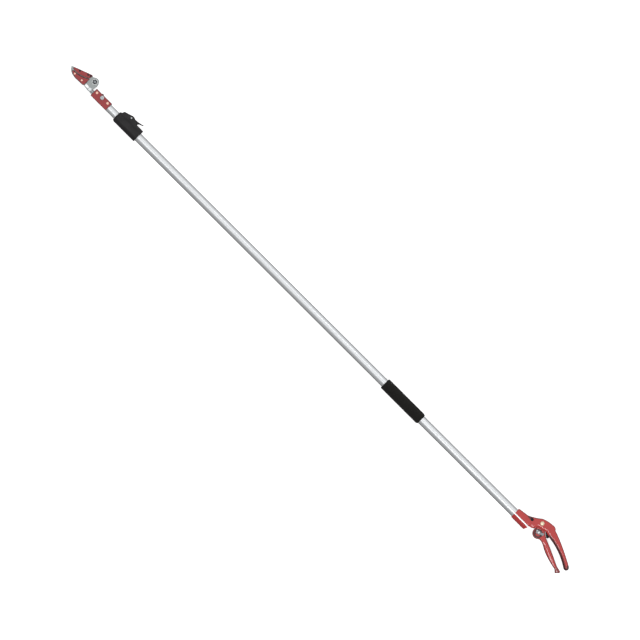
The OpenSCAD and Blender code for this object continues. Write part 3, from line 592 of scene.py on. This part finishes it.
def brass(name, colour, dark):
    """Turned brass heads, buffed and dulled by handling: a soft satin with darker clouds of 2 mm."""
    material, tree, shader, coords = surface(name, Metallic=0.85, Roughness=0.33)
    cloud = add(tree, "TexNoise", {"Vector": coords, "Scale": 1 / 0.002, "Detail": 3})
    tone = add(tree, "MixRGB", {"Fac": cloud.outputs["Fac"], "Color1": linear(dark),
                                "Color2": linear(colour)})
    tree.links.new(tone.outputs[0], shader.inputs["Base Color"])
    rough = add(tree, "MapRange", {"Value": cloud.outputs["Fac"], "To Min": 0.26, "To Max": 0.42})
    tree.links.new(rough.outputs[0], shader.inputs["Roughness"])
    bump = add(tree, "Bump", {"Height": cloud.outputs["Fac"], "Strength": 0.1, "Distance": 0.00005})
    tree.links.new(bump.outputs[0], shader.inputs["Normal"])
    return material


pale_brass = brass("pale brass", "f3e6cd", "d8c7a4")
cheek, pin_dome, pin_radius, pin_head = 12 * MM, 1.5 * MM, 3.5 * MM, 6 * MM
points, faces = upright(riveted(-cheek, pin_dome, cheek, pin_dome, pin_radius, pin_head), [PIVOT], 64)
piece("pivot_pin", mesh_of("pivot_pin", points, faces), pale_brass, "trigger_pivot_pin")


# ---- Trigger: the moving lever, a red casting with a round boss that holds the catch ----
# The tail is crowned from edge to edge, so a bright ridge runs down its middle.
BOSS = middle_of("catch_screw") - np.array([0.5, -3.4]) * MM
TRIGGER_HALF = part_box("trigger_lever")[1][2] - POLE_Z
RIDGE_ROUND = 16 * MM


def trigger_crown(xy, height, flat):
    """A quarter round from the whole outline, and along the tail a low gable with a rounded ridge: the
    fall is a hyperbola of the distance from the ridge. Painted shade lies along the edges and in a ring
    round the catch's pocket, and the tip is made darker too."""
    lines = outline_of(flat, max(v.co.z for v in flat.vertices),
                       [(tuple(PIVOT), 6 * MM), (tuple(BOSS), 13.5 * MM)])
    from_front = distance_to(facing(lines, 1), xy)
    from_back = distance_to(facing(lines, -1), xy)
    from_edge = distance_to(lines, xy)
    past_pivot = xy[:, 0] - PIVOT[0]
    tail = 1 - step(past_pivot, -48 * MM, -26 * MM)
    off_ridge = (from_front - 2 * from_back) / 3
    fall = 0.36 * (np.hypot(off_ridge, RIDGE_ROUND) - RIDGE_ROUND)
    gable = 1 - np.minimum(fall / TRIGGER_HALF, 0.5)
    on_tail, elsewhere = quarter_round(from_edge, 3.2 * MM, 0.3), quarter_round(from_edge, 2.4 * MM, 0.7)
    crown = tail * gable * on_tail + (1 - tail) * elsewhere
    # Painted shade along the front edge and, lighter, along the whole outline.
    front_painted_shade = 0.8 * (1 - step(from_front, 1.2 * MM, 3.8 * MM))
    edges = np.maximum(front_painted_shade, 0.5 * (1 - step(from_edge, 1.2 * MM, 4.2 * MM)))
    # The tip is made darker, in the same attribute.
    tip = 0.6 * (1 - step(past_pivot, -118 * MM, -104 * MM))
    # Painted shade: a dark ring round the catch's pocket, on the front cheek only.
    ring = np.linalg.norm(xy - BOSS, axis=1)
    pocket = step(ring, 6.5 * MM, 8.5 * MM) * (1 - step(ring, 12 * MM, 13.2 * MM)) * (height > 0)
    return crown, 0 * crown, np.maximum(np.maximum(edges, tip), pocket)


piece("trigger_casting", cast_form("trigger_lever", 0.6 * MM, 5, trigger_crown), red_enamel, "trigger_lever")


# ---- Catch: a stamped and plated hook that turns in the boss, held by a shouldered screw ----
# Its thumb tab stands over the boss's rim, and its nose points at the handle to hold the trigger shut.
dull_steel = plated_steel("dull plated steel", "7d8184", 0.42, "94999b")
rounded_copy("catch_latch", "catch", dull_steel, 0.35 * MM)
rounded_copy("catch_screw", "catch_screw_head", nickel_steel, 0.5 * MM)


# ---- Bumper: a moulded rubber block that stops the trigger against the handle ----
# Its foot is pressed into the handle's hollow; the rubber is matt with an eroded mould grain.
def moulded(name, colour, light, dull, grain_mm, depth_mm):
    """A moulded surface with a fine eroded grain: the eye sees an even satin with a faint sparkle and
    slightly lighter high spots."""
    material, tree, shader, coords = surface(name, Roughness=dull, Specular_IOR_Level=0.3)
    grain = add(tree, "TexNoise", {"Vector": coords, "Scale": 1 / (grain_mm * MM), "Detail": 4})
    cloud = add(tree, "TexNoise", {"Vector": coords, "Scale": 1 / 0.02, "Detail": 2})
    mixed = add(tree, "Math", {0: grain.outputs["Fac"], 1: 0.5, 2: cloud.outputs["Fac"]},
                operation="MULTIPLY_ADD")
    tone = add(tree, "MapRange", {"Value": mixed.outputs[0], "From Min": 0.5, "From Max": 1.0})
    shade = add(tree, "MixRGB", {"Fac": tone.outputs[0], "Color1": linear(colour), "Color2": linear(light)})
    tree.links.new(shade.outputs[0], shader.inputs["Base Color"])
    rough = add(tree, "MapRange", {"Value": grain.outputs["Fac"], "To Min": dull - 0.08,
                                   "To Max": dull + 0.1})
    tree.links.new(rough.outputs[0], shader.inputs["Roughness"])
    bump = add(tree, "Bump", {"Height": grain.outputs["Fac"], "Strength": 0.5, "Distance": depth_mm * MM})
    tree.links.new(bump.outputs[0], shader.inputs["Normal"])
    return material


black_rubber = moulded("moulded black rubber", "141313", "222121", 0.72, 0.8, 0.08)
rounded_copy("handle_bumper", "bumper", black_rubber, 0.9 * MM)


# ---- Turned nylon inside the poles: guide bushes, crosshead, liner and brake shoe ----
# Turned from natural rod, so they run on aluminium without oil; only their ends can be seen.
natural_nylon = moulded("turned natural nylon", "d9d6cc", "efece4", 0.5, 0.6, 0.04)
finish_node(natural_nylon, "rod_guide_bush", "draw_crosshead", "inner_tube_bush", "collar_liner",
            "brake_shoe")


# ---- Locking collar: a glass filled nylon moulding with a cam lever in its hump ----
# Spark-eroded mould grain, soft corners; the lever's tail stands off for a finger.
black_nylon = moulded("moulded black nylon", "191819", "2a282a", 0.44, 0.9, 0.1)
piece("collar_moulding", cast_form("collar_housing", 0.8 * MM, 8), black_nylon, "collar_housing")
piece("collar_lever_moulding", cast_form("collar_lever", 0.4 * MM, 5), black_nylon, "collar_lever")


# ---- Head bracket: bent sheet steel in dark red enamel, riveted and screwed to the inner pole ----
# A channel of 2 mm sheet; painted shade darkens the enamel along its cut edges, and the rivets are coppery.
dark_enamel = enamel("gloss dark red enamel on sheet steel", "b02428", "961c22", "340d0f", 0.68)


def pressed(xy, height, flat):
    """Full thickness everywhere; painted shade runs dark along the outline."""
    lines = outline_of(flat, max(v.co.z for v in flat.vertices), [])
    full = np.ones(len(xy))
    return full, 0 * full, 0.8 * (1 - step(distance_to(lines, xy), 0.5 * MM, 2.4 * MM))


piece("bracket", cast_form("head_bracket", 0.5 * MM, 3, pressed), dark_enamel, "head_bracket")
copper_brass = brass("copper tinted brass", "ffd6c4", "f2b9a2")
bracket_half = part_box("head_bracket")[1][2] - POLE_Z
low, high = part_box("bracket_rivets")
rivet_dome, rivet_radius, rivet_head = 1.4 * MM, 2.5 * MM, 4 * MM
rivet_y = (low[1] + high[1]) / 2
rivets = [(low[0] + rivet_head, rivet_y), (high[0] - rivet_head, rivet_y)]
rivet = riveted(-bracket_half, rivet_dome, bracket_half, rivet_dome, rivet_radius, rivet_head)
points, faces = upright(rivet, rivets)
piece("bracket_rivet_heads", mesh_of("bracket_rivet_heads", points, faces), copper_brass, "bracket_rivets")
rounded_copy("bracket_screw", "bracket_screw_head", zinc_steel, 0.5 * MM)


# ---- Blades: two hardened steel blades ground on their edges, on an 8 mm bolt ----
# The counter blade's tang sits in a milled block in the bracket; washer, nut and bolt close the pivot.
def ground_steel(name, colour, light):
    """Ground tool steel: fine straight grinding lines across the blade, 0.2 mm apart and drawn 0.7 mm,
    over a cool grey; the eye sees them as a soft brushed light."""
    material, tree, shader, coords = surface(name, Metallic=1.0, Roughness=0.32)
    across = add(tree, "Mapping", {"Vector": coords, "Scale": (1 / 0.0007, 1 / 0.03, 1 / 0.03),
                                   "Rotation": (0, 0, 0.5)})
    lines = add(tree, "TexNoise", {"Vector": across.outputs[0], "Scale": 1.0, "Detail": 3})
    tone = add(tree, "MixRGB", {"Fac": lines.outputs["Fac"], "Color1": linear(colour),
                                "Color2": linear(light)})
    tree.links.new(tone.outputs[0], shader.inputs["Base Color"])
    rough = add(tree, "MapRange", {"Value": lines.outputs["Fac"], "To Min": 0.24, "To Max": 0.42})
    tree.links.new(rough.outputs[0], shader.inputs["Roughness"])
    bump = add(tree, "Bump", {"Height": lines.outputs["Fac"], "Strength": 0.3, "Distance": 0.00005})
    tree.links.new(bump.outputs[0], shader.inputs["Normal"])
    return material


blade_steel = ground_steel("ground tool steel", "868b8a", "a9adac")
rounded_copy("counter_blade", "counter_blade_ground", blade_steel, 0.3 * MM, 2)
rounded_copy("cutting_blade", "cutting_blade_ground", blade_steel, 0.4 * MM, 2)
rounded_copy("head_block", "head_block_milled", zinc_steel, 0.4 * MM, 2)
rounded_copy("pivot_washer", "washer", nickel_steel, 0.3 * MM, 2)
rounded_copy("pivot_nut", "nut", black_steel, 0.6 * MM, 3)
rounded_copy("pivot_bolt", "bolt", dull_steel, 0.5 * MM, 3)


# ---- Holding plates: pressed sheet in dark red enamel that grip the cut stem, with a rubber strip ----
# The upper one is riveted to the cutting blade with black rivets, the lower one to the counter blade.
for name, node in (("upper_plate", "upper_holding_plate"), ("lower_plate", "lower_holding_plate")):
    # The plates, like the bracket, get painted shade along their outline.
    piece(name, cast_form(node, 0.4 * MM, 3, pressed), dark_enamel, node)
maroon_rubber = moulded("moulded maroon rubber", "4a1015", "5c161c", 0.6, 0.8, 0.05)
rounded_copy("grip_strip", "strip", maroon_rubber, 0.3 * MM, 2)
finish_node(copper_brass, "lower_plate_rivets")
finish_node(black_steel, "upper_plate_rivets")
